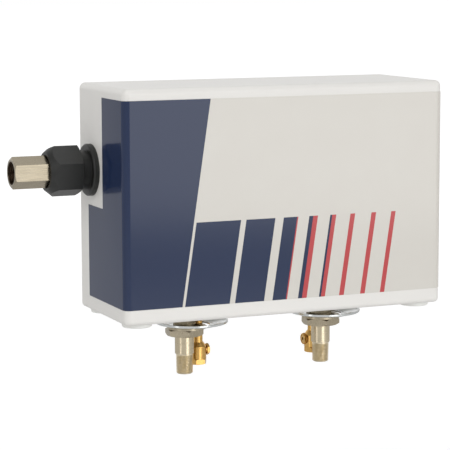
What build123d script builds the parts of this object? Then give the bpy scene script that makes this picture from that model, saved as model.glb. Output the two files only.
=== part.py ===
from build123d import *
import math
import os

# Vortex enclosure cooler: a moulded box on two hubs, fed with compressed air through its left wall.
# Millimetres. Z is up. The origin lies midway between the hub axes, on the plane of the feet's undersides,
# which is the roof of the enclosure that the cooler stands on. The printed front faces -Y.

# Box
box_width = 335.0
box_depth = 128.6
box_height = 221.6
hubs_behind_middle = 18.6
wall_thickness = 5.5
side_edge_radius = 6.5
top_edge_radius = 5.5
bottom_edge_radius = 4.0
inside_edge_radius = 2.0
wall_rib_thickness = 2.5
wall_rib_depth = 5.0
wall_rib_spacing = 70.0
wall_rib_count = 4

# Exhaust louvres in the back wall, one group behind each hot end
louvre_width = 50.0
louvre_height = 3.5
louvre_spacing = 8.0
louvre_count = 6
louvre_below_top = 20.0

# Base plate, let into the open underside of the cover
plate_thickness = 5.0
plate_rim = 4.3
plate_gap = 0.2
saddle_width = 8.0
saddle_spacing = 70.0

# Corner posts, feet and their screws
foot_diameter = 28.5
foot_height = 4.0
foot_edge = 0.8
foot_from_side = 19.0
foot_from_front = 20.3
post_radius = 5.5
post_height = 40.0
post_web = 3.0
screw_radius = 2.0
screw_head_radius = 4.0
screw_head_height = 2.2
screw_head_recess = 0.55
screw_length = 26.0

# Printed film round the left side, the front and the right side
film_thickness = 0.35
film_above_edge = 14.8
film_below_top = 11.0
film_before_flange = 8.0
film_under_flange = 9.3
film_tail_before_back = 29.0

# Hubs
hub_spacing = 150.0
gasket_inner_radius = 32.0
gasket_outer_radius = 42.0
shank_radius = 11.0
collar_flats = 28.0
collar_height = 7.0
spigot_height = 14.0
nipple_radius = 9.525
nipple_bore_radius = 6.3
nipple_step_drop = 43.0
thread_big_radius = 8.7
thread_small_radius = 8.25
nipple_drop = 63.4
nipple_chamfer = 1.0

# Locknut, flat ring and loose dished clamp washer of each hub
locknut_flats = 34.2
locknut_height = 7.1
locknut_top_drop = 17.7
locknut_turn = 22.5
ring_radius = 19.8
ring_hole_radius = 13.9
ring_thickness = 2.4
ring_edge = 0.4
ring_shift_left = (1.8, -2.0)
ring_shift_right = (0.4, -0.2)
washer_hole_radius = 18.3
washer_seat_radius = 22.5
washer_radius = 36.5
washer_sheet = 1.4
washer_cone_rise = 3.4
washer_rim_height = 2.3
washer_notch_gap = 1.2
washer_shift_left = (6.1, -3.8)
washer_shift_right = (3.2, -1.5)

# Brass sensing fitting beside each nipple
sensor_circle = 26.15
sensor_angle_left = 37.8
sensor_angle_right = 82.1
sensor_stem_radius = 5.15
sensor_stem_above_plate = 15.0
sensor_body_radius = 8.8
sensor_body_top_drop = 40.6
sensor_body_height = 12.4
sensor_shoulder = 4.2
sensor_neck_radius = 6.0
sensor_shoulder_edge = 1.2
sensor_arm_radius = 4.2
sensor_arm_drop = 44.5
sensor_arm_reach = 11.6
sensor_arm_nut_flats = 10.4
sensor_air_radius = 1.6
sensor_chamber_radius = 4.6
sensor_seat_radius = 1.9
sensor_seat_land = 1.6
sensor_cap_flats = 16.4
sensor_cap_height = 5.5
sensor_cap_spigot = 3.0
sensor_cap_recess_radius = 3.4
sensor_cap_recess = 2.2
sensor_locknut_flats = 14.0
sensor_locknut_height = 5.0
sensor_poppet_radius = 3.5
sensor_poppet_height = 1.8
sensor_poppet_stem_radius = 1.0

# Compressed air inlet on the left wall
inlet_before_back = 36.8
inlet_above_box = 139.0
gland_flange_radius = 25.2
gland_flange_thickness = 5.5
gland_flange_edge = 1.2
gland_neck_radius = 18.8
gland_neck_length = 7.5
gland_thread_radius = 18.2
gland_thread_length = 12.0
gland_wall_thread_radius = 16.0
gland_bore_radius = 11.0
gland_finger_radius = 15.7
gland_finger_wall = 2.4
gland_finger_length = 8.0
gland_finger_count = 10
gland_finger_slot = 1.6
gland_back_reach = 11.5
gland_back_nut_flats = 42.0
gland_back_nut_height = 7.0
gland_nut_flats = 43.6
gland_nut_chamfer = 2.4
gland_nut_hexagon = 23.0
gland_nut_cone = 8.0
gland_nut_nose_radius = 18.8
gland_nut_bore_radius = 16.0
gland_nut_turn = -10.0
coupling_flats = 27.0
coupling_start = 37.5
coupling_end = 80.3
coupling_turn = 3.0
coupling_bore_radius = 10.1
coupling_web_radius = 8.0
coupling_web = 3.0
coupling_mouth = 1.0
pipe_radius = 9.9
pipe_bore_radius = 6.9

# Supply tube from the inlet pipe to the manifold
supply_tube_radius = 6.35
supply_tube_wall = 1.2
supply_tube_bend = 18.0
supply_tube_reach = 27.5
tube_nut_flats = 22.0
tube_nut_length = 9.0

# Manifold with its two supply valves
manifold_before_hubs = 50.0
manifold_size = 24.0
manifold_past_hub = 35.0
gallery_radius = 4.0
gallery_plug_flats = 14.0
gallery_plug_length = 5.0
supply_seat_inside = 14.0
supply_chamber_radius = 8.5
supply_outlet_radius = 3.5
supply_poppet_radius = 6.0
supply_poppet_height = 3.0
supply_stem_radius = 2.4
supply_stem_length = 8.0
supply_cap_thread = 5.0
supply_cap_flats = 20.0
supply_cap_head = 6.5
supply_travel = 2.0
supply_nipple_radius = 5.5
supply_nipple_depth = 6.0
supply_nipple_flats = 14.0
supply_nipple_hexagon = 5.0

# Vortex tube over each hub
body_radius = 19.0
body_skirt = 8.0
body_floor = 4.0
chamber_radius = 15.0
plenum_height = 7.5
body_boss_radius = 8.8
body_boss_reach = 27.0
swirl_flange = 3.2
swirl_outer_radius = 9.0
swirl_bore_radius = 5.5
swirl_orifice_radius = 3.5
swirl_slot_width = 2.0
swirl_slot_height = 5.0
swirl_slot_count = 6
hot_flange = 4.5
hot_tube_radius = 8.0
hot_tube_wall = 1.6
cap_thread = 9.0
cap_head = 8.0
cap_flats = 34.0
plug_seat = 14.0
plug_cone = 9.0
plug_tip_radius = 0.8
plug_groove_width = 2.6
plug_groove_count = 4
plug_head = 6.0
muffler_headroom = 18.4
muffler_radius = 15.0
muffler_wall = 2.0
muffler_collar = 9.0
muffler_height = 38.0
muffler_slot_width = 3.0
muffler_slot_height = 20.0
muffler_slot_count = 8

# Pilot tubes between the sensing fittings and the manifold
pilot_radius = 2.0
pilot_wall = 0.7
pilot_bend = 9.0
pilot_socket = 5.0
pilot_level = 80.0
pilot_detour = 26.0

# Springs
spring_wire_radius = 0.4
spring_turns = 3

# Clearances
slip_gap = 0.15
moving_gap = 0.3
end_gap = 0.3
past = 1.0

# Places worked out from the sizes
middle_y = -hubs_behind_middle
front_y = middle_y - box_depth / 2
back_y = middle_y + box_depth / 2
left_x = -box_width / 2
right_x = box_width / 2
box_low = foot_height
box_high = box_low + box_height
plate_top = box_low + plate_thickness
ceiling = box_high - wall_thickness
inlet_y = back_y - inlet_before_back
inlet_z = box_low + inlet_above_box
manifold_y = -manifold_before_hubs
pipe_low = -wall_thickness - gland_back_reach - past
supply_tube_x = left_x - pipe_low + supply_tube_reach
manifold_left = supply_tube_x - manifold_size / 2
manifold_right = hub_spacing / 2 + manifold_past_hub
seat_y = manifold_y - manifold_size / 2 + supply_seat_inside
gallery_y = seat_y - supply_seat_inside / 2 + gallery_radius / 2
spigot_top = plate_top + collar_height + spigot_height
chamber_floor = spigot_top + body_floor
plenum_low = chamber_floor + swirl_flange
manifold_z = plenum_low + plenum_height / 2
flange_low = plenum_low + plenum_height
flange_top = flange_low + hot_flange
body_top = flange_top + cap_thread
hot_tube_top = ceiling - muffler_headroom - muffler_height + muffler_collar
manifold_top = manifold_z + manifold_size / 2
manifold_low = manifold_z - manifold_size / 2
gland_nut_start = gland_flange_thickness + gland_neck_length
gland_thread_end = gland_nut_start + gland_thread_length
ring_seat = -locknut_top_drop
washer_seat = ring_seat + ring_thickness
washer_top = washer_seat + washer_cone_rise + washer_rim_height
stem_top = plate_top + sensor_stem_above_plate
sensor_body_low = -sensor_body_top_drop - sensor_body_height
sensor_chamber_top = -sensor_body_top_drop - sensor_seat_land
hub_sides = {"left": -1, "right": 1}


def rod(radius, low, high):
    # Round bar along Z.
    return Pos(0, 0, (low + high) / 2) * Cylinder(radius, high - low)


def hexagon(across_flats, low, high, turn=0.0):
    # Hexagon bar along Z.
    outline = RegularPolygon(radius=across_flats / 2, side_count=6, major_radius=False, rotation=turn)
    return extrude(Pos(0, 0, low) * outline, amount=high - low)


def turned(*points):
    # Solid of revolution about Z from radius and height pairs.
    outline = Plane.XZ * make_face(Polyline(*points, close=True))
    return revolve(outline, Axis.Z)


def nut(across_flats, low, high, turn=0.0):
    # Hexagon with its corners turned off at both ends.
    flat = across_flats / 2
    corner = flat / math.cos(math.pi / 6)
    rise = (corner - flat) * math.tan(math.pi / 6)
    envelope = turned(
        (0, low),
        (flat, low),
        (corner, low + rise),
        (corner, high - rise),
        (flat, high),
        (0, high),
    )
    return hexagon(across_flats, low, high, turn) & envelope


def spring(radius, low, high):
    # Helical compression spring along Z, its wire inside the stated ends.
    rise = high - low - 2 * spring_wire_radius
    path = Pos(0, 0, low + spring_wire_radius) * Helix(pitch=rise / spring_turns, height=rise, radius=radius)
    section = Plane(origin=path @ 0, z_dir=path % 0) * Circle(spring_wire_radius)
    return sweep(section, path=path)


def bent_tube(points, radius, wall, bend):
    # Round tube along straight runs joined by tangent arcs.
    path = FilletPolyline(*points, radius=bend)
    start = Plane(origin=path @ 0, z_dir=path % 0)
    return sweep(start * (Circle(radius) - Circle(radius - wall)), path=path)


def hub_place(side):
    return Pos(hub_sides[side] * hub_spacing / 2, 0, 0)


def sensor_angle(side):
    return sensor_angle_left if side == "left" else sensor_angle_right


def sensor_offset(side):
    angle = math.radians(sensor_angle(side))
    return sensor_circle * math.cos(angle), sensor_circle * math.sin(angle)


def sensor_place(side):
    across, back = sensor_offset(side)
    return Pos(hub_sides[side] * hub_spacing / 2 + across, back, 0)


def sensor_arm_place(side):
    # Side arms of the two fittings face each other.
    return sensor_place(side) * Pos(0, 0, -sensor_arm_drop) * Rot(0, -90 * hub_sides[side], 0)


def inlet_place():
    # Z runs outwards from the left wall.
    return Pos(left_x, inlet_y, inlet_z) * Rot(0, -90, 0)


def valve_place(side):
    # Z runs from the valve seat to the front of the manifold.
    return Pos(hub_sides[side] * hub_spacing / 2, seat_y, manifold_z) * Rot(90, 0, 0)


def foot_centres():
    across = box_width / 2 - foot_from_side
    back = box_depth / 2 - foot_from_front
    return [(sx * across, middle_y + sy * back) for sx in (-1, 1) for sy in (-1, 1)]


def box_outline(inset):
    # Plan of the box, its walls moved in by the inset.
    radius = max(side_edge_radius - inset, inside_edge_radius)
    return Pos(0, middle_y) * RectangleRounded(box_width - 2 * inset, box_depth - 2 * inset, radius)


def rounded_box():
    block = extrude(Pos(0, 0, box_low) * box_outline(0), amount=box_height)
    block = fillet(block.faces().sort_by(Axis.Z)[-1].edges(), top_edge_radius)
    return fillet(block.faces().sort_by(Axis.Z)[0].edges(), bottom_edge_radius)


def wall_ribs():
    # Upright ribs inside the front and back walls.
    ribs = Part()
    first = -wall_rib_spacing * (wall_rib_count - 1) / 2
    low = plate_top + post_height
    for i in range(wall_rib_count):
        x = first + i * wall_rib_spacing
        for y, reach in ((front_y + wall_thickness, 1), (back_y - wall_thickness, -1)):
            middle = Pos(x, y + reach * wall_rib_depth / 2, (low + ceiling) / 2)
            ribs += middle * Box(wall_rib_thickness, wall_rib_depth + 2 * slip_gap, ceiling - low + slip_gap)
    return ribs


def corner_posts():
    # Screw posts, each tied to its side wall by a web.
    posts = Part()
    middle_z = plate_top + post_height / 2
    for x, y in foot_centres():
        side = math.copysign(1, x)
        wall_x = side * (right_x - wall_thickness / 2)
        web = Pos((x + wall_x) / 2, y, middle_z) * Box(abs(wall_x - x), post_web, post_height)
        posts += Pos(x, y, middle_z) * Cylinder(post_radius, post_height) + web
    return posts


def louvres():
    slots = Part()
    top = box_high - louvre_below_top
    for side in hub_sides.values():
        for i in range(louvre_count):
            z = top - i * louvre_spacing
            slot = Box(louvre_width, wall_thickness + 2 * past, louvre_height)
            slots += Pos(side * hub_spacing / 2, back_y - wall_thickness / 2, z) * slot
    return slots


def housing_cover():
    # One moulding, open below, with a step that the base plate seats against.
    cavity = extrude(Pos(0, 0, box_low) * box_outline(wall_thickness), amount=box_height - wall_thickness)
    pocket = extrude(Pos(0, 0, box_low) * box_outline(plate_rim), amount=plate_thickness)
    cover = rounded_box() - cavity - pocket
    cover += wall_ribs()
    cover += corner_posts()
    cover -= louvres()
    cover -= inlet_place() * rod(gland_wall_thread_radius + slip_gap, -wall_thickness - past, past)
    for x, y in foot_centres():
        cover -= Pos(x, y, 0) * rod(screw_radius + slip_gap, plate_top, foot_height + screw_length + past)
    return cover


def base_plate():
    plate = extrude(Pos(0, 0, box_low) * box_outline(plate_rim + plate_gap), amount=plate_thickness)
    for x in (-saddle_spacing / 2, saddle_spacing / 2):
        middle = Pos(x, manifold_y, (plate_top + manifold_low) / 2)
        plate += middle * Box(saddle_width, manifold_size, manifold_low - plate_top)
    for side in hub_sides:
        plate -= hub_place(side) * rod(shank_radius + slip_gap, box_low - past, plate_top + past)
        plate -= sensor_place(side) * rod(sensor_stem_radius + slip_gap, box_low - past, plate_top + past)
    for x, y in foot_centres():
        plate -= Pos(x, y, 0) * rod(screw_radius + slip_gap, box_low - past, plate_top + past)
    return plate


def feet():
    pads = []
    radius = foot_diameter / 2
    for x, y in foot_centres():
        pad = rod(radius, 0, foot_height)
        pad = chamfer(pad.faces().sort_by(Axis.Z)[0].edges(), foot_edge)
        pad -= rod(screw_head_radius + slip_gap, -past, screw_head_height)
        pad -= rod(screw_radius + slip_gap, -past, foot_height + past)
        pads.append(Pos(x, y, 0) * pad)
    return Compound(pads)


def foot_screws():
    screws = []
    for x, y in foot_centres():
        screw = rod(screw_head_radius, screw_head_recess, screw_head_height)
        screw += rod(screw_radius, screw_head_recess, foot_height + screw_length)
        screws.append(Pos(x, y, 0) * screw)
    return Compound(screws)


def wrap_film():
    # Film on the outside of the walls, cut back round the gland on the left side.
    low = box_low + film_above_edge
    high = box_high - film_below_top
    film_end = inlet_y - gland_flange_radius - film_before_flange
    tail_end = back_y - film_tail_before_back
    tail_high = inlet_z - gland_flange_radius - film_under_flange
    band = box_outline(-film_thickness) - box_outline(0)
    film = extrude(Pos(0, 0, low) * band, amount=high - low)
    cut_depth = back_y - film_end + 2 * past
    cut = Box(box_width + 4 * past, cut_depth, box_height)
    film -= Pos(0, film_end + cut_depth / 2, (low + high) / 2) * cut
    tail = extrude(Pos(0, 0, low) * band, amount=tail_high - low)
    tail_box = Box(wall_thickness, tail_end - film_end, tail_high - low)
    return film + (tail & Pos(left_x, (film_end + tail_end) / 2, (low + tail_high) / 2) * tail_box)


def hub_gasket():
    return rod(gasket_outer_radius, 0, foot_height) - rod(gasket_inner_radius, -past, foot_height + past)


def cold_nipple():
    # Bulkhead nipple: spigot, hexagon collar, shank for the locknut, plain part and tapered thread.
    shank_end = -locknut_top_drop - locknut_height + end_gap
    body = turned(
        (0, spigot_top),
        (nipple_radius, spigot_top),
        (nipple_radius, plate_top),
        (shank_radius, plate_top),
        (shank_radius, shank_end),
        (nipple_radius, shank_end),
        (nipple_radius, -nipple_step_drop),
        (thread_big_radius, -nipple_step_drop),
        (thread_small_radius, -nipple_drop + nipple_chamfer),
        (thread_small_radius - nipple_chamfer, -nipple_drop),
        (0, -nipple_drop),
    )
    body += nut(collar_flats, plate_top, plate_top + collar_height)
    return body - rod(nipple_bore_radius, -nipple_drop - past, spigot_top + past)


def seat_ring(side):
    # Flat ring between the locknut and the dished washer.
    shift_x, shift_y = ring_shift_left if side == "left" else ring_shift_right
    ring = rod(ring_radius, ring_seat, washer_seat)
    ring = chamfer(ring.edges().filter_by(GeomType.CIRCLE), ring_edge)
    return Pos(shift_x, shift_y, 0) * (ring - rod(ring_hole_radius, ring_seat - past, washer_seat + past))


def clamp_washer(side):
    # Dished sheet washer, loose on its ring, with a notch that the sensing fitting hangs through.
    rim = washer_seat + washer_cone_rise
    lip = washer_rim_height / 3
    dish = turned(
        (washer_hole_radius, washer_seat),
        (washer_seat_radius, washer_seat),
        (washer_radius - lip, rim),
        (washer_radius, rim + lip),
        (washer_radius, washer_top),
        (washer_radius - washer_sheet, washer_top),
        (washer_radius - washer_sheet, rim + washer_sheet),
        (washer_seat_radius, washer_seat + washer_sheet),
        (washer_hole_radius, washer_seat + washer_sheet),
    )
    shift_x, shift_y = washer_shift_left if side == "left" else washer_shift_right
    across, back = sensor_offset(side)
    reach_x, reach_y = across - shift_x, back - shift_y
    reach = math.hypot(reach_x, reach_y)
    notch_radius = sensor_stem_radius + washer_notch_gap
    notch_height = washer_top - washer_seat + 2 * past
    notch = Pos(reach / 2, 0, 0) * Box(reach, 2 * notch_radius, notch_height)
    notch += Pos(reach, 0, 0) * Cylinder(notch_radius, notch_height)
    turn = math.degrees(math.atan2(reach_y, reach_x))
    notch_place = Pos(0, 0, (washer_seat + washer_top) / 2) * Rot(0, 0, turn)
    return Pos(shift_x, shift_y, 0) * (dish - notch_place * notch)


def hub_locknut():
    body = nut(locknut_flats, ring_seat - locknut_height, ring_seat, locknut_turn)
    return body - rod(shank_radius + slip_gap, -nipple_drop, 0)


def sensor_body(side):
    # Forged brass body: stem up through the base plate, round valve chamber, side arm.
    shoulder_top = -sensor_body_top_drop + sensor_shoulder
    body = turned(
        (0, sensor_body_low),
        (sensor_body_radius, sensor_body_low),
        (sensor_body_radius, -sensor_body_top_drop),
        (sensor_neck_radius, shoulder_top),
        (0, shoulder_top),
    )
    body = fillet(body.edges().filter_by(GeomType.CIRCLE).sort_by(Axis.Z)[1], sensor_shoulder_edge)
    body += rod(sensor_stem_radius, -sensor_body_top_drop, stem_top)
    arm = rod(sensor_arm_radius, 0, sensor_arm_reach - end_gap)
    port = rod(sensor_air_radius, 0, sensor_arm_reach + past)
    arm_turn = Pos(0, 0, -sensor_arm_drop) * Rot(0, -90 * hub_sides[side], 0)
    body += arm_turn * arm
    body -= arm_turn * port
    body -= rod(sensor_chamber_radius, sensor_body_low - past, sensor_chamber_top)
    body -= rod(sensor_seat_radius, sensor_chamber_top - past, -sensor_body_top_drop + sensor_poppet_height)
    body -= rod(sensor_air_radius, -sensor_body_top_drop, stem_top + past)
    return body - rod(pilot_radius + slip_gap, stem_top - pilot_socket, stem_top + past)


def sensor_arm_nut():
    body = nut(sensor_arm_nut_flats, sensor_body_radius, sensor_arm_reach)
    return body - rod(sensor_arm_radius + slip_gap, 0, sensor_arm_reach + past)


def sensor_cap():
    # Hexagon cap that closes the chamber and carries the spring.
    low = sensor_body_low - sensor_cap_height
    top = sensor_body_low + sensor_cap_spigot
    body = nut(sensor_cap_flats, low, sensor_body_low) + rod(sensor_chamber_radius - slip_gap, low, top)
    return body - rod(sensor_cap_recess_radius, top - sensor_cap_recess, top + past)


def sensor_locknut():
    body = nut(sensor_locknut_flats, plate_top, plate_top + sensor_locknut_height)
    return body - rod(sensor_stem_radius + slip_gap, 0, stem_top)


def sensor_poppet():
    # Flat head under its seat, with a short guide stem up into it.
    top = sensor_chamber_top - end_gap
    low = top - sensor_poppet_height
    stem = rod(sensor_poppet_stem_radius, low, top + sensor_seat_land)
    return rod(sensor_poppet_radius, low, top) + stem


def sensor_spring():
    top = sensor_chamber_top - end_gap - sensor_poppet_height
    low = sensor_body_low + sensor_cap_spigot - sensor_cap_recess
    return spring(sensor_poppet_radius - 2 * spring_wire_radius, low, top)


def gland_body():
    # Nylon body: thread through the wall, flange, neck, thread for the dome nut, clamping fingers.
    finger_end = gland_thread_end + gland_finger_length
    body = turned(
        (0, -wall_thickness - gland_back_reach),
        (gland_wall_thread_radius, -wall_thickness - gland_back_reach),
        (gland_wall_thread_radius, 0),
        (gland_flange_radius, 0),
        (gland_flange_radius, gland_flange_thickness - gland_flange_edge),
        (gland_flange_radius - gland_flange_edge, gland_flange_thickness),
        (gland_neck_radius, gland_flange_thickness),
        (gland_neck_radius, gland_nut_start),
        (gland_thread_radius, gland_nut_start),
        (gland_thread_radius, gland_thread_end),
        (gland_finger_radius, gland_thread_end),
        (gland_finger_radius, finger_end),
        (0, finger_end),
    )
    body -= rod(gland_finger_radius - gland_finger_wall, gland_thread_end, finger_end + past)
    slot_middle = (gland_thread_end + finger_end + past) / 2
    slot = Box(gland_finger_radius, gland_finger_slot, finger_end + past - gland_thread_end)
    for i in range(gland_finger_count):
        body -= Rot(0, 0, 360 * i / gland_finger_count) * Pos(gland_finger_radius, 0, slot_middle) * slot
    return body - rod(gland_bore_radius, -wall_thickness - gland_back_reach - past, coupling_end)


def gland_back_nut():
    low = -wall_thickness - gland_back_nut_height
    body = nut(gland_back_nut_flats, low, -wall_thickness)
    return body - rod(gland_wall_thread_radius + slip_gap, low - past, past)


def gland_nut():
    # Dome nut: hexagon with a short chamfer at the back and a long cone to the round nose.
    flat = gland_nut_flats / 2
    corner = flat / math.cos(math.pi / 6)
    hexagon_low = gland_nut_start + gland_nut_chamfer
    hexagon_high = hexagon_low + gland_nut_hexagon
    nose = hexagon_high + gland_nut_cone
    envelope = turned(
        (0, gland_nut_start),
        (gland_neck_radius + slip_gap, gland_nut_start),
        (corner, hexagon_low),
        (corner, hexagon_high),
        (gland_nut_nose_radius, nose),
        (0, nose),
    )
    body = hexagon(gland_nut_flats, gland_nut_start, nose, gland_nut_turn) & envelope
    body -= rod(gland_thread_radius + slip_gap, 0, gland_thread_end + slip_gap)
    return body - rod(gland_nut_bore_radius, 0, nose + past)


def gland_seal():
    # Rubber ring inside the fingers, round the pipe.
    ring = rod(gland_finger_radius - gland_finger_wall - slip_gap, gland_thread_end, coupling_start)
    return ring - rod(pipe_radius + slip_gap, gland_thread_end - past, coupling_start + past)


def inlet_coupling():
    # Hexagon coupling with a thread in each end and a web between them.
    middle = (coupling_start + coupling_end) / 2
    body = nut(coupling_flats, coupling_start, coupling_end, coupling_turn)
    body -= rod(coupling_bore_radius, middle + coupling_web / 2, coupling_end + past)
    body -= rod(coupling_bore_radius, coupling_start - past, middle - coupling_web / 2)
    body -= rod(coupling_web_radius, coupling_start, coupling_end)
    mouth = coupling_bore_radius + coupling_mouth
    return body - turned(
        (0, coupling_end - coupling_mouth),
        (coupling_bore_radius, coupling_end - coupling_mouth),
        (mouth, coupling_end),
        (mouth, coupling_end + past),
        (0, coupling_end + past),
    )


def inlet_pipe():
    high = (coupling_start + coupling_end) / 2 - coupling_web / 2
    return rod(pipe_radius, pipe_low, high) - rod(pipe_bore_radius, pipe_low - past, high + past)


def supply_path():
    return [
        (left_x - pipe_low, inlet_y, inlet_z),
        (supply_tube_x, inlet_y, inlet_z),
        (supply_tube_x, manifold_y, inlet_z),
        (supply_tube_x, manifold_y, manifold_top),
    ]


def tube_nut():
    body = nut(tube_nut_flats, 0, tube_nut_length)
    return body - rod(supply_tube_radius + slip_gap, -past, tube_nut_length + past)


def manifold():
    # Square brass bar with a gallery along it and one valve chamber in front of each vortex tube.
    length = manifold_right - manifold_left
    place = Pos((manifold_left + manifold_right) / 2, manifold_y, manifold_z)
    bar = place * Box(length, manifold_size, manifold_size)
    gallery = Pos(manifold_left, gallery_y, manifold_z) * Rot(0, 90, 0)
    bar -= gallery * rod(gallery_radius, -past, length - manifold_size / 2)
    tube_bore = supply_tube_radius - supply_tube_wall
    bar -= Pos(supply_tube_x, manifold_y, 0) * rod(tube_bore, manifold_z, manifold_top + past)
    back_face = seat_y - manifold_y - manifold_size / 2
    for side in hub_sides:
        seat = valve_place(side)
        bar -= seat * rod(supply_chamber_radius, 0, supply_seat_inside + past)
        bar -= seat * rod(supply_outlet_radius, back_face - past, past)
        bar -= seat * rod(supply_nipple_radius + slip_gap, back_face - past, back_face + supply_nipple_depth)
        x, y = pilot_end(side)
        bar -= Pos(x, y, 0) * rod(pilot_radius + slip_gap, manifold_top - pilot_socket, manifold_top + past)
    return bar


def gallery_plug():
    body = nut(gallery_plug_flats, 0, gallery_plug_length)
    return body + rod(gallery_radius - slip_gap, -gallery_plug_length, gallery_plug_length / 2)


def supply_cap():
    # Cap in the front of the manifold, bored for the poppet's stem.
    low = supply_seat_inside - supply_cap_thread
    body = nut(supply_cap_flats, supply_seat_inside, supply_seat_inside + supply_cap_head)
    body += rod(supply_chamber_radius - slip_gap, low, supply_seat_inside + past)
    depth = end_gap + supply_poppet_height + supply_stem_length + supply_travel + end_gap
    return body - rod(supply_stem_radius + moving_gap, low - past, depth)


def supply_poppet():
    head_top = end_gap + supply_poppet_height
    stem = rod(supply_stem_radius, end_gap, head_top + supply_stem_length)
    return rod(supply_poppet_radius, end_gap, head_top) + stem


def supply_spring():
    low = end_gap + supply_poppet_height
    return spring(supply_poppet_radius - 2 * spring_wire_radius, low, supply_seat_inside - supply_cap_thread)


def supply_nipple():
    # Short hexagon nipple from the manifold into the generator body's boss.
    low = manifold_y + manifold_size / 2 - seat_y - supply_nipple_depth
    high = -body_boss_reach - seat_y + supply_nipple_depth
    middle = (manifold_y + manifold_size / 2 - body_boss_reach) / 2 - seat_y
    body = rod(supply_nipple_radius, low, high)
    body += nut(supply_nipple_flats, middle - supply_nipple_hexagon / 2, middle + supply_nipple_hexagon / 2)
    return body - rod(supply_outlet_radius, low - past, high + past)


def generator_body():
    # Body that screws over the nipple's spigot, with the air inlet boss towards the manifold.
    low = spigot_top - body_skirt
    body = rod(body_radius, low, body_top)
    boss = Pos(0, 0, manifold_z) * Rot(90, 0, 0)
    body += boss * rod(body_boss_radius, 0, body_boss_reach)
    body -= rod(nipple_radius + slip_gap, low - past, spigot_top)
    body -= rod(nipple_bore_radius, low, chamber_floor)
    body -= rod(chamber_radius, chamber_floor, body_top + past)
    body -= boss * rod(supply_outlet_radius, 0, body_boss_reach)
    socket_low = body_boss_reach - supply_nipple_depth
    return body - boss * rod(supply_nipple_radius + slip_gap, socket_low, body_boss_reach + past)


def swirl_generator():
    # Flanged ring with tangential nozzles into its bore and the cold orifice through its floor.
    body = rod(chamber_radius - slip_gap, chamber_floor, plenum_low)
    body += rod(swirl_outer_radius, chamber_floor, flange_low)
    body -= rod(swirl_bore_radius, plenum_low, flange_low + past)
    body -= rod(swirl_orifice_radius, chamber_floor - past, plenum_low + past)
    slot_middle = flange_low - swirl_slot_height / 2
    slot = Pos(swirl_bore_radius - swirl_slot_width / 2, swirl_outer_radius / 2, slot_middle) * Box(
        swirl_slot_width, swirl_outer_radius, swirl_slot_height
    )
    for i in range(swirl_slot_count):
        body -= Rot(0, 0, 360 * i / swirl_slot_count) * slot
    return body


def body_cap():
    body = rod(chamber_radius - slip_gap, flange_top, body_top + past)
    body += nut(cap_flats, body_top, body_top + cap_head)
    return body - rod(hot_tube_radius + slip_gap, flange_top - past, body_top + cap_head + past)


def hot_tube():
    body = rod(hot_tube_radius, flange_low, hot_tube_top)
    body += rod(chamber_radius - slip_gap, flange_low, flange_top)
    return body - rod(hot_tube_radius - hot_tube_wall, flange_low - past, hot_tube_top + past)


def hot_plug():
    # Cone valve in the hot end: air leaves past the cone and through the grooves in the shank.
    shank = hot_tube_radius - hot_tube_wall - slip_gap
    seat = hot_tube_top - plug_seat
    plug = turned(
        (0, seat),
        (plug_tip_radius, seat),
        (shank, seat + plug_cone),
        (shank, hot_tube_top),
        (hot_tube_radius, hot_tube_top),
        (hot_tube_radius, hot_tube_top + plug_head),
        (0, hot_tube_top + plug_head),
    )
    height = plug_seat + plug_head
    groove = Box(hot_tube_radius, plug_groove_width, height + past)
    groove = Pos(hot_tube_radius, 0, seat + height / 2) * groove
    for i in range(plug_groove_count):
        plug -= Rot(0, 0, 360 * i / plug_groove_count) * groove
    return plug


def hot_muffler():
    # Slotted can round the hot end, clamped on the tube by its collar.
    low = hot_tube_top - muffler_collar
    high = low + muffler_height
    can = rod(muffler_radius, low, high)
    can -= rod(muffler_radius - muffler_wall, hot_tube_top, high - muffler_wall)
    can -= rod(hot_tube_radius + slip_gap, low - past, hot_tube_top + past)
    slot_middle = hot_tube_top + (high - hot_tube_top) / 2
    slot_reach = 2 * muffler_wall + past
    slot = Pos(muffler_radius, 0, slot_middle) * Box(slot_reach, muffler_slot_width, muffler_slot_height)
    for i in range(muffler_slot_count):
        can -= Rot(0, 0, 360 * i / muffler_slot_count) * slot
    return can


def pilot_end(side):
    # Where the pilot tube enters the top of the manifold; the right one goes round the vortex tube.
    across = sensor_offset(side)[0]
    detour = pilot_detour if side == "right" else 0
    return hub_sides[side] * hub_spacing / 2 + across + detour, manifold_y


def pilot_tube(side):
    # From the stem's socket up over the vortex tube's body cap and down into the manifold.
    across, back = sensor_offset(side)
    stem_x = hub_sides[side] * hub_spacing / 2 + across
    end_x, end_y = pilot_end(side)
    points = [(stem_x, back, stem_top - pilot_socket), (stem_x, back, pilot_level)]
    if side == "right":
        points.append((end_x, back, pilot_level))
    points += [(end_x, end_y, pilot_level), (end_x, end_y, manifold_top - pilot_socket)]
    return bent_tube(points, pilot_radius, pilot_wall, pilot_bend)


def tube_nut_upper():
    start = supply_path()[0]
    return Pos(*start) * Rot(0, 90, 0) * tube_nut()


def tube_nut_lower():
    end = supply_path()[-1]
    return Pos(*end) * tube_nut()


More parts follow.
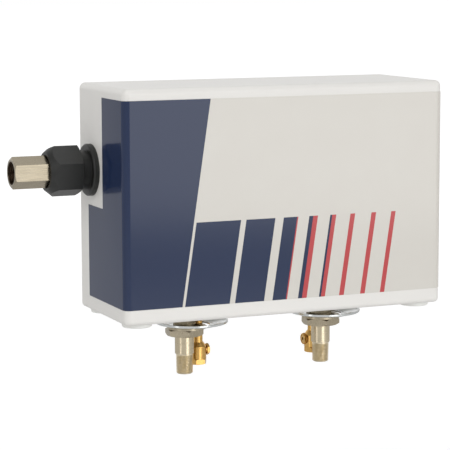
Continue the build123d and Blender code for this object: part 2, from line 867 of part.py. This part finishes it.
pieces = {
    "housing_cover": housing_cover(),
    "base_plate": base_plate(),
    "wrap_film": wrap_film(),
    "feet": feet(),
    "foot_screws": foot_screws(),
    "gland_body": inlet_place() * gland_body(),
    "gland_back_nut": inlet_place() * gland_back_nut(),
    "gland_nut": inlet_place() * gland_nut(),
    "gland_seal": inlet_place() * gland_seal(),
    "inlet_coupling": inlet_place() * inlet_coupling(),
    "inlet_pipe": inlet_place() * inlet_pipe(),
    "supply_tube": bent_tube(supply_path(), supply_tube_radius, supply_tube_wall, supply_tube_bend),
    "tube_nut_upper": tube_nut_upper(),
    "tube_nut_lower": tube_nut_lower(),
    "manifold": manifold(),
    "gallery_plug": Pos(manifold_left, gallery_y, manifold_z) * Rot(0, -90, 0) * gallery_plug(),
}
for side in hub_sides:
    hub = hub_place(side)
    sensor = sensor_place(side)
    valve = valve_place(side)
    pieces.update(
        {
            f"hub_gasket_{side}": hub * hub_gasket(),
            f"cold_nipple_{side}": hub * cold_nipple(),
            f"seat_ring_{side}": hub * seat_ring(side),
            f"clamp_washer_{side}": hub * clamp_washer(side),
            f"hub_locknut_{side}": hub * hub_locknut(),
            f"generator_body_{side}": hub * generator_body(),
            f"swirl_generator_{side}": hub * swirl_generator(),
            f"body_cap_{side}": hub * body_cap(),
            f"hot_tube_{side}": hub * hot_tube(),
            f"hot_plug_{side}": hub * hot_plug(),
            f"hot_muffler_{side}": hub * hot_muffler(),
            f"sensor_body_{side}": sensor * sensor_body(side),
            f"sensor_arm_nut_{side}": sensor_arm_place(side) * sensor_arm_nut(),
            f"sensor_cap_{side}": sensor * sensor_cap(),
            f"sensor_locknut_{side}": sensor * sensor_locknut(),
            f"sensor_poppet_{side}": sensor * sensor_poppet(),
            f"sensor_spring_{side}": sensor * sensor_spring(),
            f"supply_cap_{side}": valve * supply_cap(),
            f"supply_poppet_{side}": valve * supply_poppet(),
            f"supply_spring_{side}": valve * supply_spring(),
            f"supply_nipple_{side}": valve * Rot(180, 0, 0) * supply_nipple(),
            f"pilot_tube_{side}": pilot_tube(side),
        }
    )

os.makedirs("parts", exist_ok=True)
for name, piece in pieces.items():
    export_step(piece, f"parts/{name}.step")
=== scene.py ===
import math

import bmesh
import bpy
from mathutils import Matrix, Vector


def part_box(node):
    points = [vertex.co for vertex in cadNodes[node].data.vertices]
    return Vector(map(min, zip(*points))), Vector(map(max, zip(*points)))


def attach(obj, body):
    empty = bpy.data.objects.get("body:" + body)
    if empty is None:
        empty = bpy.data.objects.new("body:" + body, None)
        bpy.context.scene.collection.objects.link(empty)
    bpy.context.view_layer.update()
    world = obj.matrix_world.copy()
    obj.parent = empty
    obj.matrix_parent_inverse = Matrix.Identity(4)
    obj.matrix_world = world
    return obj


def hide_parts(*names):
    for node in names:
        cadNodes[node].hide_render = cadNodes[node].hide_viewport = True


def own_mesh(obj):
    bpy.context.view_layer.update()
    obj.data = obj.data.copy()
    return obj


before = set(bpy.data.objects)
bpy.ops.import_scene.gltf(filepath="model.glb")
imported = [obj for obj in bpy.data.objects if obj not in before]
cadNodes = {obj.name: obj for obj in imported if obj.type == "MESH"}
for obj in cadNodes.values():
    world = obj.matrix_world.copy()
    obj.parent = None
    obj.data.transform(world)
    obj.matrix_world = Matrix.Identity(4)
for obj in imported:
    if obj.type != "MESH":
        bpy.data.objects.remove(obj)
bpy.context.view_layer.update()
mm = 0.001
print("frame loaded:", len(cadNodes), "nodes")


# small helpers

def toLinear(hexText):
    # sRGB hex to the linear colour that a shader takes
    parts = [int(hexText[i:i + 2], 16) / 255 for i in (1, 3, 5)]
    return [c / 12.92 if c <= 0.04045 else ((c + 0.055) / 1.055) ** 2.4 for c in parts] + [1.0]


def addNode(tree, kind, settings=None, inputs=None):
    # one node with its settings; an input is a value, or a (node, output) pair to link from
    node = tree.nodes.new(kind)
    for key, value in (settings or {}).items():
        setattr(node, key, value)
    for key, value in (inputs or {}).items():
        if isinstance(value, tuple) and isinstance(value[0], bpy.types.Node):
            tree.links.new(value[0].outputs[value[1]], node.inputs[key])
        else:
            node.inputs[key].default_value = value
    return node


def newMaterial(name):
    material = bpy.data.materials.new(name)
    material.use_nodes = True
    tree = material.node_tree
    tree.nodes.clear()
    return material, tree


def finishMaterial(tree, shader):
    addNode(tree, "ShaderNodeOutputMaterial", None, {"Surface": (shader, 0)})


def dress(nodeNames, material):
    for name in nodeNames:
        slots = cadNodes[name].data.materials
        slots.clear()
        slots.append(material)


def bothSides(*names):
    return [f"{name}_{side}" for name in names for side in ("left", "right")]


def newPiece(name, mesh, materials, body):
    piece = bpy.data.objects.new(name, mesh)
    bpy.context.scene.collection.objects.link(piece)
    for material in materials:
        mesh.materials.append(material)
    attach(piece, body)
    return piece


def mergedCopy(nodeName, distance=0.002 * mm):
    # a CAD node's mesh with its loose triangles joined
    shape = bmesh.new()
    shape.from_mesh(cadNodes[nodeName].data)
    bmesh.ops.remove_doubles(shape, verts=shape.verts, dist=distance)
    return shape


def smoothButSharp(mesh, angle=34):
    # smooth shading, broken where two faces meet at more than the angle; the copied normals no longer fit
    if "custom_normal" in mesh.attributes:
        mesh.attributes.remove(mesh.attributes["custom_normal"])
    mesh.shade_smooth()
    mesh.set_sharp_from_angle(angle=math.radians(angle))


# materials

def grainNodes(tree, grainSize, depth, bevel=0.0, stretch=(1, 1, 1)):
    # fine surface grain of a real size, over edges rounded by the bevel's radius
    place = addNode(tree, "ShaderNodeTexCoord")
    mapping = addNode(tree, "ShaderNodeMapping", None, {"Vector": (place, "Object"), "Scale": stretch})
    grain = addNode(tree, "ShaderNodeTexNoise", None, {
        "Vector": (mapping, "Vector"), "Scale": 1 / (grainSize * mm), "Detail": 3.0, "Roughness": 0.6})
    bump = addNode(tree, "ShaderNodeBump", None, {
        "Strength": 1.0, "Distance": depth * mm, "Height": (grain, 0)})
    if bevel:
        rounded = addNode(tree, "ShaderNodeBevel", {"samples": 4}, {"Radius": bevel * mm})
        tree.links.new(rounded.outputs[0], bump.inputs["Normal"])
    return place, grain, bump


def variedColour(tree, place, first, second, patchSize):
    # two close shades in soft patches
    patches = addNode(tree, "ShaderNodeTexNoise", None, {
        "Vector": (place, "Object"), "Scale": 1 / (patchSize * mm), "Detail": 2.0})
    return addNode(tree, "ShaderNodeMix", {"data_type": "RGBA"}, {
        "Factor": (patches, 0), 6: toLinear(first), 7: toLinear(second)})


def shaded(name, first, second, patchSize, grainSize, grainDepth, roughness, bevel=0.0, metallic=0.0,
           stretch=(1, 1, 1), roughnessSpread=0.06):
    # one finish: two close shades, grain, and a gloss that follows the grain
    material, tree = newMaterial(name)
    place, grain, bump = grainNodes(tree, grainSize, grainDepth, bevel, stretch)
    colour = variedColour(tree, place, first, second, patchSize)
    gloss = addNode(tree, "ShaderNodeMapRange", None, {
        "Value": (grain, 0), "From Min": 0.3, "From Max": 0.7,
        "To Min": roughness - roughnessSpread, "To Max": roughness + roughnessSpread})
    shader = addNode(tree, "ShaderNodeBsdfPrincipled", None, {
        "Base Color": (colour, 2), "Roughness": (gloss, 0), "Normal": (bump, 0), "Metallic": metallic})
    finishMaterial(tree, shader)
    return material


# moulded ABS: satin, very fine mould texture, warm light grey
mouldedAbs = shaded("mouldedAbs", "#e0deda", "#dcdad6", 70, 0.7, 0.012, 0.36)
plateAbs = shaded("plateAbs", "#cfcdc8", "#c9c7c2", 60, 0.7, 0.015, 0.42)
# moulded polyethylene: whiter and softer than the box
footPolyethylene = shaded("footPolyethylene", "#eeeeea", "#e6e6e2", 12, 0.6, 0.015, 0.48, 0.3)
# moulded nylon 66: near black, dull sheen on its edges, faint mould grain
blackNylon = shaded("blackNylon", "#10110f", "#151613", 15, 0.8, 0.03, 0.42, 0.5)
# nitrile rubber: black, matt
nitrileRubber = shaded("nitrileRubber", "#151515", "#1d1d1c", 8, 0.5, 0.03, 0.62, 0.2)
# closed-cell polyethylene foam: off-white, soft and matt
closedCellFoam = shaded("closedCellFoam", "#eceae6", "#e4e2de", 6, 0.9, 0.08, 0.7)
# nickel plating on machined brass: warm grey metal with fine turning marks round the axis
turnedNickel = shaded("turnedNickel", "#cdc0a6", "#c6b99e", 9, 0.9, 0.006, 0.24, 0.25, 1.0, (0.05, 0.05, 1))
# the same plating on a drawn hexagon bar: marks run along the bar; its colour is painted darker than the
# plating, a painted shade
shadedDrawnNickel = shaded("shadedDrawnNickel", "#a29987", "#9b917e", 11, 0.9, 0.008, 0.27, 0.3, 1.0, (0.04, 1, 1))
# the same plating on thin nuts and rings cut from bar: duller, marks run up the flats; its colour is painted
# darker than the plating, a painted shade
shadedCutNickel = shaded("shadedCutNickel", "#b5aa95", "#aa9f89", 9, 0.9, 0.008, 0.29, 0.3, 1.0, (1, 1, 0.1))
# the same plating on a cut thread: paler, because the groove darkens it
threadNickel = shaded("threadNickel", "#e2d7bf", "#d7caae", 5, 0.7, 0.006, 0.33, 0.0, 1.0, (0.2, 0.2, 1))
# cut inner thread, painted dark brown as the shade inside the bore, with a wet-looking gloss
boreShadeThread = shaded("boreShadeThread", "#5d4d3f", "#4b3d31", 5, 0.7, 0.006, 0.34, 0.0, 1.0, (1, 0.2, 0.2))
# bright zinc on rolled sheet: cool, nearly mirror bright
brightZinc = shaded("brightZinc", "#d9dbda", "#c9cccb", 14, 1.6, 0.02, 0.17, 0.2, 1.0)
# machined brass: golden, small tool marks
machinedBrass = shaded("machinedBrass", "#d8b06c", "#cfa25a", 6, 0.6, 0.01, 0.24, 0.25, 1.0, (0.2, 0.2, 1))
# drawn copper tube: dull orange metal
drawnCopper = shaded("drawnCopper", "#c8795a", "#b86c4c", 12, 0.7, 0.008, 0.3, 0.0, 1.0)
# drawn stainless tube: grey metal with lengthwise marks
drawnSteel = shaded("drawnSteel", "#b4b4b2", "#a8a8a6", 15, 0.8, 0.008, 0.3, 0.0, 1.0, (1, 1, 0.05))
# turned aluminium: pale dull metal
turnedAluminium = shaded("turnedAluminium", "#c6c7c9", "#bcbdbf", 12, 0.8, 0.008, 0.32, 0.2, 1.0,
                         (0.05, 0.05, 1))
# moulded acetal: milky white plastic
mouldedAcetal = shaded("mouldedAcetal", "#e9e8e2", "#e2e1db", 8, 0.5, 0.01, 0.4, 0.15)
# spring wire and zinc plated screws: plain grey metal
springWire = shaded("springWire", "#8f8f8d", "#81817f", 5, 0.4, 0.004, 0.35, 0.0, 1.0)
platedScrew = shaded("platedScrew", "#b9bab8", "#aaaba8", 4, 0.4, 0.006, 0.3, 0.15, 1.0)
# sintered bronze: brown metal of tiny beads
sinteredBronze = shaded("sinteredBronze", "#8d7448", "#7b6339", 3, 0.5, 0.12, 0.5, 0.1, 1.0)

dress(["housing_cover"], mouldedAbs)
dress(["base_plate"], plateAbs)
dress(["feet"], footPolyethylene)
dress(["foot_screws"], platedScrew)
dress(["gland_body", "gland_back_nut", "gland_nut"], blackNylon)
dress(["gland_seal"], nitrileRubber)
dress(bothSides("hub_gasket"), closedCellFoam)
dress(["inlet_pipe"], turnedNickel)
# the locknuts and seat rings carry the nickel painted darker, as painted shade
dress(bothSides("hub_locknut", "seat_ring"), shadedCutNickel)
dress(bothSides("clamp_washer"), brightZinc)
dress(["supply_tube"] + bothSides("pilot_tube"), drawnCopper)
dress(["tube_nut_upper", "tube_nut_lower", "manifold", "gallery_plug"] + bothSides(
    "sensor_body", "sensor_arm_nut", "sensor_cap", "sensor_locknut", "supply_cap", "supply_nipple",
    "supply_poppet", "hot_plug"), machinedBrass)
dress(bothSides("generator_body", "body_cap"), turnedAluminium)
dress(bothSides("swirl_generator", "sensor_poppet"), mouldedAcetal)
dress(bothSides("hot_tube"), drawnSteel)
dress(bothSides("hot_muffler"), sinteredBronze)
print("materials on the fixed nodes")


# printed film

film = {
    "slope": 0.1515,          # how far a slanted edge moves in x for each mm of height
    "lowZ": 18.8,             # the film's lower edge
    "barTopZ": 98.5,          # where the bars end
    "fieldRight": -110.1,     # the navy field's right edge, at the lower edge
    "frontY": -82.9,
    # each bar at the lower edge: left, where red starts, right
    "bars": [(-107.5, -61.7, -61.7), (-56.2, -25.8, -25.8), (-17.0, -2.7, -1.5), (10.1, 14.4, 19.4),
             (32.6, 34.8, 39.1), (54.4, 54.4, 59.6), (77.4, 77.4, 82.6), (99.2, 99.2, 104.1)],
}


def filmMaterial(name, colour, other, coatRoughness=0.13):
    # polyester film printed on its back: the colour lies under a clear gloss, not quite flat
    material, tree = newMaterial(name)
    place = addNode(tree, "ShaderNodeTexCoord")
    waves = addNode(tree, "ShaderNodeTexNoise", None, {
        "Vector": (place, "Object"), "Scale": 1 / (9 * mm), "Detail": 2.0})
    bump = addNode(tree, "ShaderNodeBump", None, {
        "Strength": 1.0, "Distance": 0.012 * mm, "Height": (waves, 0)})
    colourMix = variedColour(tree, place, colour, other, 40)
    shader = addNode(tree, "ShaderNodeBsdfPrincipled", None, {
        "Base Color": (colourMix, 2), "Roughness": 0.45, "Coat Weight": 0.9, "Coat Roughness": coatRoughness,
        "Coat IOR": 1.5, "Specular IOR Level": 0.0, "Normal": (bump, 0), "Coat Normal": (bump, 0)})
    finishMaterial(tree, shader)
    return material


# silver beige ground, navy field and red bars of the print
beigeFilm = filmMaterial("beigeFilm", "#d0cdc6", "#cdc9c2")
navyFilm = filmMaterial("navyFilm", "#1f2c4a", "#212e4c")
redFilm = filmMaterial("redFilm", "#b9474a", "#b44447")


def slantPlane(bottomX):
    # a plane through one slanted edge of the print, along the film's thickness
    point = Vector((bottomX * mm, 0, film["lowZ"] * mm))
    normal = Vector((1, 0, -film["slope"])).normalized()
    return point, normal


def buildFilm():
    shape = mergedCopy("wrap_film")
    edges = {film["fieldRight"]}
    for bar in film["bars"]:
        edges.update(bar)
    cuts = [slantPlane(x) for x in sorted(edges)]
    cuts.append((Vector((0, 0, film["barTopZ"] * mm)), Vector((0, 0, 1))))
    for point, normal in cuts:
        front = [f for f in shape.faces if f.calc_center_median().y < (film["frontY"] + 1) * mm]
        edgesHere = list({e for f in front for e in f.edges})
        cornersHere = list({v for f in front for v in f.verts})
        bmesh.ops.bisect_plane(shape, geom=front + edgesHere + cornersHere, plane_co=point, plane_no=normal,
                               dist=1e-7)
    for face in shape.faces:
        centre = face.calc_center_median() / mm
        bottomX = centre.x - film["slope"] * (centre.z - film["lowZ"])
        onFront = centre.y < film["frontY"] + 3
        face.material_index = 0
        if bottomX < film["fieldRight"] or (not onFront and centre.x < 0):
            face.material_index = 1
        elif onFront and centre.z < film["barTopZ"]:
            for left, red, right in film["bars"]:
                if left < bottomX < right:
                    face.material_index = 1 if bottomX < red else 2
    mesh = bpy.data.meshes.new("printedFilm")
    shape.to_mesh(mesh)
    shape.free()
    smoothButSharp(mesh)
    piece = newPiece("printedFilm", mesh, [beigeFilm, navyFilm, redFilm], "housing")
    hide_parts("wrap_film")
    return piece


buildFilm()
print("film printed")


# threads, cut by one node tree

thread = {
    "stepsAround": 96,
    "stepsPerTurn": 8,
    "crestFlat": 0.12,        # share of the pitch that the crest keeps flat
    "runOut": 7.0,            # the groove reaches its depth after one part in this many of the length
    "endFade": 30.0,          # and ends within one part in this many
}
nippleThread = {"axisX": 75.0, "top": -43.0, "low": -62.4, "topRadius": 8.7, "lowRadius": 8.25,
                "boreClear": 7.6, "pitch": 1.411, "depth": 0.95}
couplingThread = {"mouthX": -247.8, "innerX": -227.9, "y": 8.9, "z": 143.0, "innerRadius": 10.1,
                  "mouthRadius": 11.1, "pitch": 1.814, "depth": 1.0}


def threadTree():
    tree = bpy.data.node_groups.new("cutThread", "GeometryNodeTree")
    face = tree.interface
    face.new_socket("Geometry", in_out="OUTPUT", socket_type="NodeSocketGeometry")
    names = [("Top radius", 0.0087), ("Low radius", 0.0082), ("Length", 0.02), ("Pitch", 0.0014),
             ("Depth", 0.0009), ("Crest flat", 0.12)]
    for name, value in names:
        face.new_socket(name, in_out="INPUT", socket_type="NodeSocketFloat").default_value = value
    for name in ("Steps along", "Steps around"):
        face.new_socket(name, in_out="INPUT", socket_type="NodeSocketInt").default_value = 96
    face.new_socket("Material", in_out="INPUT", socket_type="NodeSocketMaterial")
    start = addNode(tree, "NodeGroupInput")

    def calc(operation, first, second=0.0, clamp=False):
        return addNode(tree, "ShaderNodeMath", {"operation": operation, "use_clamp": clamp},
                       {0: first, 1: second}), 0

    grid = addNode(tree, "GeometryNodeMeshGrid", None, {
        "Size X": 1.0, "Size Y": 1.0,
        "Vertices X": (start, "Steps along"), "Vertices Y": (start, "Steps around")})
    place = addNode(tree, "ShaderNodeSeparateXYZ", None, {0: (addNode(tree, "GeometryNodeInputPosition"), 0)})
    along = calc("ADD", (place, 0), 0.5)
    around = calc("ADD", (place, 1), 0.5)
    drop = calc("MULTIPLY", along, (start, "Length"))
    turns = calc("ADD", calc("DIVIDE", drop, (start, "Pitch")), around)
    wave = calc("ABSOLUTE", calc("SUBTRACT", calc("MULTIPLY", calc("FRACT", turns), 2.0), 1.0))
    spread = calc("DIVIDE", calc("SUBTRACT", wave, (start, "Crest flat")),
                  calc("SUBTRACT", 1.0, calc("MULTIPLY", (start, "Crest flat"), 2.0)), True)
    # the groove runs out over the last turns at the top, and starts sharply at the end
    runOut = calc("MULTIPLY", along, thread["runOut"], True)
    endFade = calc("MULTIPLY", calc("SUBTRACT", 1.0, along), thread["endFade"], True)
    depth = calc("MULTIPLY", calc("MULTIPLY", (start, "Depth"), runOut), endFade)
    taper = calc("ADD", (start, "Top radius"),
                 calc("MULTIPLY", calc("SUBTRACT", (start, "Low radius"), (start, "Top radius")), along))
    radius = calc("SUBTRACT", taper, calc("MULTIPLY", depth, spread))
    angle = calc("MULTIPLY", around, 2 * math.pi)
    spot = addNode(tree, "ShaderNodeCombineXYZ", None, {
        0: calc("MULTIPLY", radius, calc("COSINE", angle)), 1: calc("MULTIPLY", radius, calc("SINE", angle)),
        2: calc("MULTIPLY", drop, -1.0)})
    moved = addNode(tree, "GeometryNodeSetPosition", None, {
        "Geometry": (grid, "Mesh"), "Position": (spot, 0)})
    merged = addNode(tree, "GeometryNodeMergeByDistance", None, {"Geometry": (moved, 0), "Distance": 1e-6})
    real = addNode(tree, "GeometryNodeRealizeInstances", None, {"Geometry": (merged, 0)})
    dressed = addNode(tree, "GeometryNodeSetMaterial", None, {
        "Geometry": (real, 0), "Material": (start, "Material")})
    addNode(tree, "NodeGroupOutput", None, {"Geometry": (dressed, 0)})
    return tree


def applied(tree, values):
    # runs a node tree with named inputs and returns its mesh
    holder = bpy.data.objects.new("holder", bpy.data.meshes.new("holder"))
    bpy.context.scene.collection.objects.link(holder)
    modifier = holder.modifiers.new("nodes", "NODES")
    modifier.node_group = tree
    for item in tree.interface.items_tree:
        if item.item_type == "SOCKET" and item.in_out == "INPUT":
            modifier[item.identifier] = values[item.name]
    holder.update_tag()
    evaluated = holder.evaluated_get(bpy.context.evaluated_depsgraph_get())
    mesh = bpy.data.meshes.new_from_object(evaluated)
    holder.modifiers.remove(modifier)
    bpy.data.objects.remove(holder)
    return mesh


cutThread = threadTree()


def threadMesh(topRadius, lowRadius, length, pitch, depth, material):
    turns = length / pitch
    return applied(cutThread, {
        "Top radius": topRadius * mm, "Low radius": lowRadius * mm,
        "Length": length * mm, "Pitch": pitch * mm, "Depth": depth * mm, "Crest flat": thread["crestFlat"],
        "Steps along": int(turns * thread["stepsPerTurn"]) + 1, "Steps around": thread["stepsAround"] + 1,
        "Material": material})


def closeSeams(shape, axis):
    # joins the thread's two end rings to the rims that the plain surface left
    rims = [e for e in shape.edges if len(e.link_faces) == 1]
    along = [e.verts[0].co.dot(axis) for e in rims]
    middle = (min(along) + max(along)) / 2
    for end in (False, True):
        ring = [e for e, place in zip(rims, along) if (place > middle) == end]
        bmesh.ops.bridge_loops(shape, edges=ring)
    bmesh.ops.recalc_face_normals(shape, faces=shape.faces)
    if shape.calc_volume(signed=True) < 0:
        bmesh.ops.reverse_faces(shape, faces=shape.faces)


def withThread(nodeName, pieceName, isThreadFace, threadPart, place, materials, inside=False):
    # the CAD piece with its plain threaded surface taken out and the cut thread put in
    shape = mergedCopy(nodeName)
    bmesh.ops.delete(shape, geom=[f for f in shape.faces if isThreadFace(f)], context="FACES")
    for face in shape.faces:
        face.material_index = 0
    for polygon in threadPart.polygons:
        polygon.material_index = 1
        polygon.use_smooth = True
    threadPart.transform(place)
    shape.from_mesh(threadPart)
    added = [f for f in shape.faces if f.material_index == 1]
    probe = added[len(added) // 2]
    centre = probe.calc_center_median() - place.translation
    axis = place.to_3x3() @ Vector((0, 0, 1))
    outwards = centre - axis * centre.dot(axis)
    if (probe.normal.dot(outwards) < 0) != inside:
        bmesh.ops.reverse_faces(shape, faces=added)
    closeSeams(shape, axis)
    mesh = bpy.data.meshes.new(pieceName)
    shape.to_mesh(mesh)
    shape.free()
    smoothButSharp(mesh)
    piece = newPiece(pieceName, mesh, materials, "housing")
    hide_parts(nodeName)
    return piece


def buildNipple(side, sign):
    t = nippleThread
    centreX = sign * t["axisX"] * mm
    length = t["top"] - t["low"]
    part = threadMesh(t["topRadius"], t["lowRadius"], length, t["pitch"], t["depth"], threadNickel)

    def onCone(face):
        c = face.calc_center_median()
        radius = math.hypot(c.x - centreX, c.y) / mm
        return t["low"] - 0.1 < c.z / mm < t["top"] - 0.1 and radius > t["boreClear"]

    place = Matrix.Translation((centreX, 0, t["top"] * mm))
    materials = [turnedNickel, threadNickel]
    return withThread(f"cold_nipple_{side}", f"coldNipple_{side}", onCone, part, place, materials)


def buildCoupling():
    # a female thread is the same groove with its depth turned outwards
    t = couplingThread
    length = t["innerX"] - t["mouthX"]
    # the inner thread's dark brown is painted shade for the inside of the bore
    part = threadMesh(t["innerRadius"], t["mouthRadius"], length, t["pitch"], -t["depth"], boreShadeThread)

    def inBore(face):
        c = face.calc_center_median() / mm
        radius = math.hypot(c.y - t["y"], c.z - t["z"])
        return t["mouthX"] + 0.05 < c.x < t["innerX"] - 0.05 and radius < t["mouthRadius"]

    start = Matrix.Translation((t["innerX"] * mm, t["y"] * mm, t["z"] * mm))
    place = start @ Matrix.Rotation(math.pi / 2, 4, "Y")
    # the coupling's nickel is painted darker than the plating, as painted shade
    materials = [shadedDrawnNickel, boreShadeThread]
    return withThread("inlet_coupling", "inletCoupling", inBore, part, place, materials, True)


for side, sign in (("left", -1), ("right", 1)):
    buildNipple(side, sign)
buildCoupling()
print("threads cut")


# springs: each is copied from its CAD node as it stands, not shortened between its fixed end and the poppet
# that it seats

valveSprings = {
    # axis 1 is y and 2 is z; where the fixed end stands on it, and the poppet's travel
    "supply": {"axis": 1, "fixedEnd": -57.0, "travel": 2.0},
    "sensor": {"axis": 2, "fixedEnd": -52.2, "travel": 1.5},
}


def buildSpring(valve, side):
    spring = valveSprings[valve]
    node = f"{valve}_spring_{side}"
    low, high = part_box(node)
    shape = mergedCopy(node)
    mesh = bpy.data.meshes.new(node)
    shape.to_mesh(mesh)
    shape.free()
    smoothButSharp(mesh)
    piece = newPiece(f"valveSpring_{valve}_valve_{side}", mesh, [springWire], "housing")
    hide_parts(node)
    anchor = [(a + b) / 2 for a, b in zip(low, high)]
    anchor[spring["axis"]] = spring["fixedEnd"] * mm
    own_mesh(piece)


for side in ("left", "right"):
    for valve in valveSprings:
        buildSpring(valve, side)
print("springs set")


# studio: floor, world, lamps

studio = {
    "floorZ": -0.32,
    "floorSize": 60.0,
    "floorLift": (0.42, 0.62),    # what makes the floor white for the camera, near the object and far off
    "liftReach": (0.8, 3.5),      # between these distances it grows
    "glossShare": 0.1,            # how much of that lift metal and film show
    "ceilingStart": 0.1,          # the world's white ends a little above the horizon
    "ceilingFull": 0.75,
    "ceilingStrength": 0.5,
    "lamps": [
        # name, place, aimed at, width, height, watts
        ("keyLamp", (-1.5, -1.9, 1.9), (0, 0, 0.1), 1.5, 1.5, 20.0),
        ("frontBox", (0.82, -1.98, 0.4), (0, 0, 0.1), 1.25, 1.2, 8.0),
        ("topLamp", (0.1, 0.3, 2.2), (0, 0, 0.1), 1.8, 1.8, 8.0),
        # two low strips give the nipples their upright streaks
        ("lowStripRight", (0.15, -0.75, -0.22), (0, 0, -0.05), 0.36, 0.16, 0.32),
        ("lowStripLeft", (-0.75, -0.3, -0.22), (0, 0, -0.05), 0.15, 0.16, 0.12),
    ],
}


def buildStudio():
    mesh = bpy.data.meshes.new("floor")
    half = studio["floorSize"] / 2
    z = studio["floorZ"]
    corners = [(-half, -half, z), (half, -half, z), (half, half, z), (-half, half, z)]
    mesh.from_pydata(corners, [], [(0, 1, 2, 3)])
    floor = bpy.data.objects.new("floor", mesh)
    bpy.context.scene.collection.objects.link(floor)
    material, tree = newMaterial("paleFloor")
    diffuse = addNode(tree, "ShaderNodeBsdfDiffuse", None, {"Color": toLinear("#e4e4e4")})
    place = addNode(tree, "ShaderNodeTexCoord")
    away = addNode(tree, "ShaderNodeVectorMath", {"operation": "LENGTH"}, {0: (place, "Object")})
    near, far = studio["floorLift"]
    lift = addNode(tree, "ShaderNodeMapRange", {"interpolation_type": "SMOOTHSTEP"}, {
        "Value": (away, "Value"), "From Min": studio["liftReach"][0], "From Max": studio["liftReach"][1],
        "To Min": near, "To Max": far})
    path = addNode(tree, "ShaderNodeLightPath")
    gloss = addNode(tree, "ShaderNodeMath", {"operation": "MULTIPLY"}, {
        0: (path, "Is Glossy Ray"), 1: studio["glossShare"]})
    shown = addNode(tree, "ShaderNodeMath", {"operation": "ADD"}, {
        0: (path, "Is Camera Ray"), 1: (path, "Is Transmission Ray")})
    shown = addNode(tree, "ShaderNodeMath", {"operation": "ADD", "use_clamp": True}, {
        0: (shown, 0), 1: (gloss, 0)})
    strength = addNode(tree, "ShaderNodeMath", {"operation": "MULTIPLY"}, {0: (lift, 0), 1: (shown, 0)})
    glow = addNode(tree, "ShaderNodeEmission", None, {"Strength": (strength, 0)})
    both = addNode(tree, "ShaderNodeAddShader", None, {0: (diffuse, 0), 1: (glow, 0)})
    finishMaterial(tree, both)
    mesh.materials.append(material)

    world = bpy.data.worlds.new("studio")
    bpy.context.scene.world = world
    world.use_nodes = True
    tree = world.node_tree
    tree.nodes.clear()
    # a pale room: white at the horizon, greyer towards the ceiling
    place = addNode(tree, "ShaderNodeTexCoord")
    height = addNode(tree, "ShaderNodeSeparateXYZ", None, {0: (place, "Generated")})
    strength = addNode(tree, "ShaderNodeMapRange", {"interpolation_type": "SMOOTHSTEP"}, {
        "Value": (height, "Z"), "From Min": studio["ceilingStart"], "From Max": studio["ceilingFull"],
        "To Min": 1.0, "To Max": studio["ceilingStrength"]})
    back = addNode(tree, "ShaderNodeBackground", None, {
        "Color": toLinear("#ffffff"), "Strength": (strength, 0)})
    addNode(tree, "ShaderNodeOutputWorld", None, {"Surface": (back, 0)})

    for name, place, target, width, height, watts in studio["lamps"]:
        lamp = bpy.data.lights.new(name, "AREA")
        lamp.shape = "RECTANGLE"
        lamp.size = width
        lamp.size_y = height
        lamp.energy = watts
        thing = bpy.data.objects.new(name, lamp)
        thing.location = place
        thing.rotation_euler = (Vector(target) - Vector(place)).to_track_quat("-Z", "Y").to_euler()
        thing.visible_camera = False
        bpy.context.scene.collection.objects.link(thing)


view = {
    "place": (-0.78019, -1.75340, 0.33705),
    "yaw": 23.143,            # from +Y towards +X
    "pitch": 7.602,           # downwards
    "roll": 0.173,
    "focal": 1935.83,         # in pixels of the picture
    "pictureWidth": 450,
    "sensor": 36.0,
}


def buildCamera():
    yaw, pitch, roll = (math.radians(view[key]) for key in ("yaw", "pitch", "roll"))
    ahead = Vector((math.sin(yaw) * math.cos(pitch), math.cos(yaw) * math.cos(pitch), -math.sin(pitch)))
    right = Vector((math.cos(yaw), -math.sin(yaw), 0))
    down = ahead.cross(right)
    across = right * math.cos(roll) + down * math.sin(roll)
    below = down * math.cos(roll) - right * math.sin(roll)
    turn = Matrix((across, -below, -ahead)).transposed().to_4x4()
    lens = bpy.data.cameras.new("camera")
    lens.sensor_fit = "HORIZONTAL"
    lens.sensor_width = view["sensor"]
    lens.lens = view["focal"] / view["pictureWidth"] * view["sensor"]
    lens.clip_start = 0.05
    lens.clip_end = 200.0
    camera = bpy.data.objects.new("camera", lens)
    camera.matrix_world = Matrix.Translation(view["place"]) @ turn
    bpy.context.scene.collection.objects.link(camera)
    bpy.context.scene.camera = camera


buildStudio()
buildCamera()
bpy.context.scene.view_settings.view_transform = "Standard"
print("studio and camera set")
